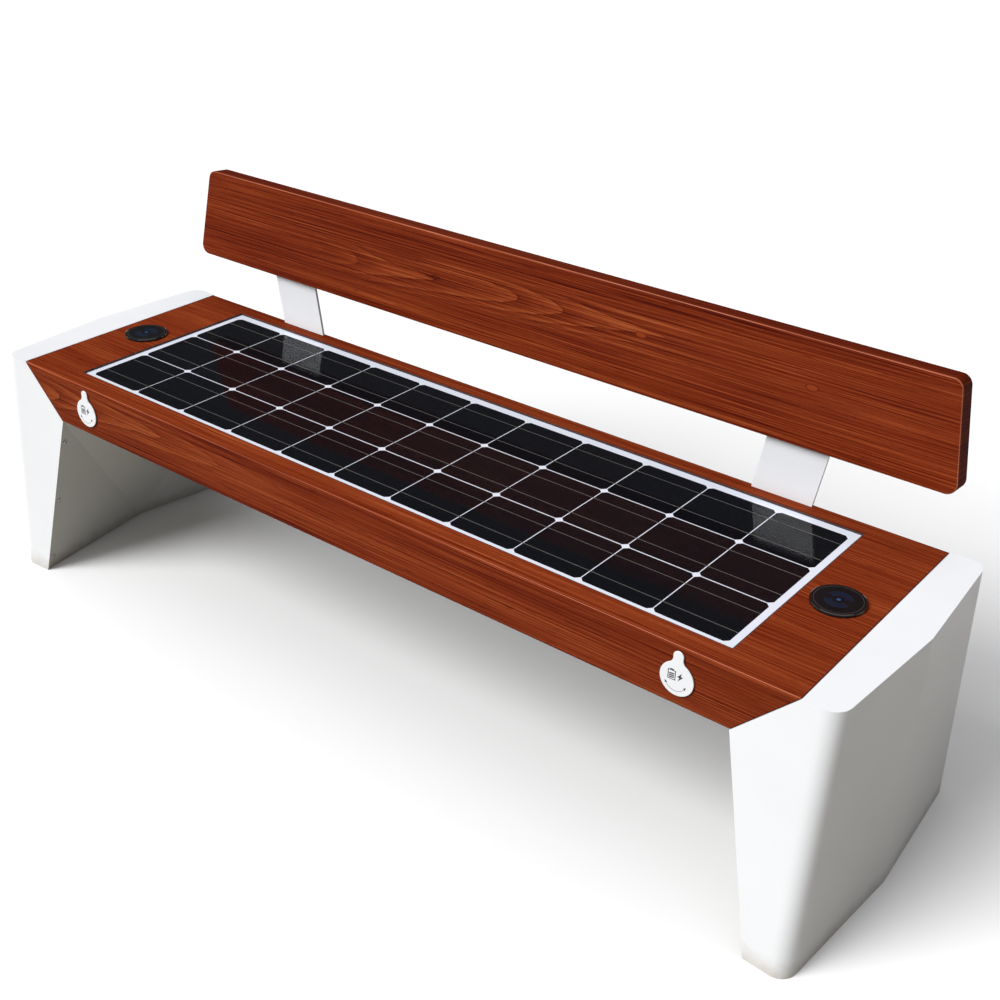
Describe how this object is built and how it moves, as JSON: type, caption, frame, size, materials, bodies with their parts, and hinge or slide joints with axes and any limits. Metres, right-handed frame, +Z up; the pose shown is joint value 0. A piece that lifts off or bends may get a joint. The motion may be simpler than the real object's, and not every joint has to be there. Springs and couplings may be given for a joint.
{
  "type": "solar charging bench",
  "caption": "Street bench with a solar panel let into the seat, wireless chargers, covered USB sockets on the front, folded sheet legs and a low slanted backrest.",
  "frame": {"origin": "on the ground under the middle of the bench", "axes": "+X along the bench, +Y from the seat front to the backrest, +Z up"},
  "size_m": [1.829, 0.5546, 0.7351],
  "materials": {
    "white_powder_coat": "semi-gloss powder coat",
    "wood_grain_coat": "semi-gloss printed wood grain",
    "galvanised_steel": "galvanised",
    "stainless_steel": "satin",
    "panel_glass": "clear, smooth",
    "cell_silicon": "smooth dark silicon",
    "cell_ribbon": "tinned",
    "backsheet_film": "satin white film",
    "seal_rubber": "matt",
    "charger_black": "polished",
    "moulded_black": "fine texture",
    "cover_white": "satin",
    "bush_brass": "turned",
    "coil_copper": "enamelled wire",
    "battery_wrap": "shrink film",
    "cast_aluminium": "cast, anodised",
    "lead_sheath": "matt"
  },
  "bodies": {
    "bench": {"backrest_bracket_left": "white_powder_coat", "backrest_bracket_right": "white_powder_coat", "backrest_rails": "galvanised_steel", "backrest_rear_cover": "wood_grain_coat", "backrest_shell": "wood_grain_coat", "base_plate_left": "galvanised_steel", "base_plate_right": "galvanised_steel", "battery_case": "battery_wrap", "battery_straps": "galvanised_steel", "bracket_back_bolts": "stainless_steel", "bracket_seat_bolts": "stainless_steel", "cell_ribbons": "cell_ribbon", "charge_controller": "cast_aluminium", "charger_coils": "coil_copper", "charger_disc_left": "charger_black", "charger_disc_right": "charger_black", "charger_housing_left": "charger_black", "charger_housing_right": "charger_black", "charger_nut_left": "moulded_black", "charger_nut_right": "moulded_black", "internal_leads": "lead_sheath", "junction_box": "moulded_black", "lead_clips": "moulded_black", "leg_frame_left": "galvanised_steel", "leg_frame_right": "galvanised_steel", "leg_inner_panel_left": "white_powder_coat", "leg_inner_panel_right": "white_powder_coat", "leg_panel_screws": "stainless_steel", "leg_shell_left": "white_powder_coat", "leg_shell_right": "white_powder_coat", "pivot_bush_left": "bush_brass", "pivot_bush_right": "bush_brass", "power_converter": "moulded_black", "rear_cover_screws": "stainless_steel", "seat_cover": "wood_grain_coat", "seat_end_bolts": "stainless_steel", "seat_end_plate_left": "galvanised_steel", "seat_end_plate_right": "galvanised_steel", "seat_frame": "galvanised_steel", "solar_backsheet": "backsheet_film", "solar_cells": "cell_silicon", "solar_glass": "panel_glass", "solar_seal": "seal_rubber", "solar_tray": "galvanised_steel", "underside_panel": "galvanised_steel", "underside_screws": "stainless_steel", "usb_body_left": "moulded_black", "usb_body_right": "moulded_black", "usb_gasket_left": "seal_rubber", "usb_gasket_right": "seal_rubber", "usb_locknut_left": "moulded_black", "usb_locknut_right": "moulded_black"},
    "left_cover": {"port_cover_left": "cover_white", "pivot_nut_left": "moulded_black"},
    "right_cover": {"port_cover_right": "cover_white", "pivot_nut_right": "moulded_black"}
  },
  "joints": [
    {"name": "left_cover_swing", "type": "hinge", "parent": "bench", "child": "left_cover", "pos_m": [-0.655, -0.24, 0.438], "axis": [0, 1, 0], "range_deg": [-90, 90]},
    {"name": "right_cover_swing", "type": "hinge", "parent": "bench", "child": "right_cover", "pos_m": [0.655, -0.24, 0.438], "axis": [0, 1, 0], "range_deg": [-90, 90]}
  ]
}
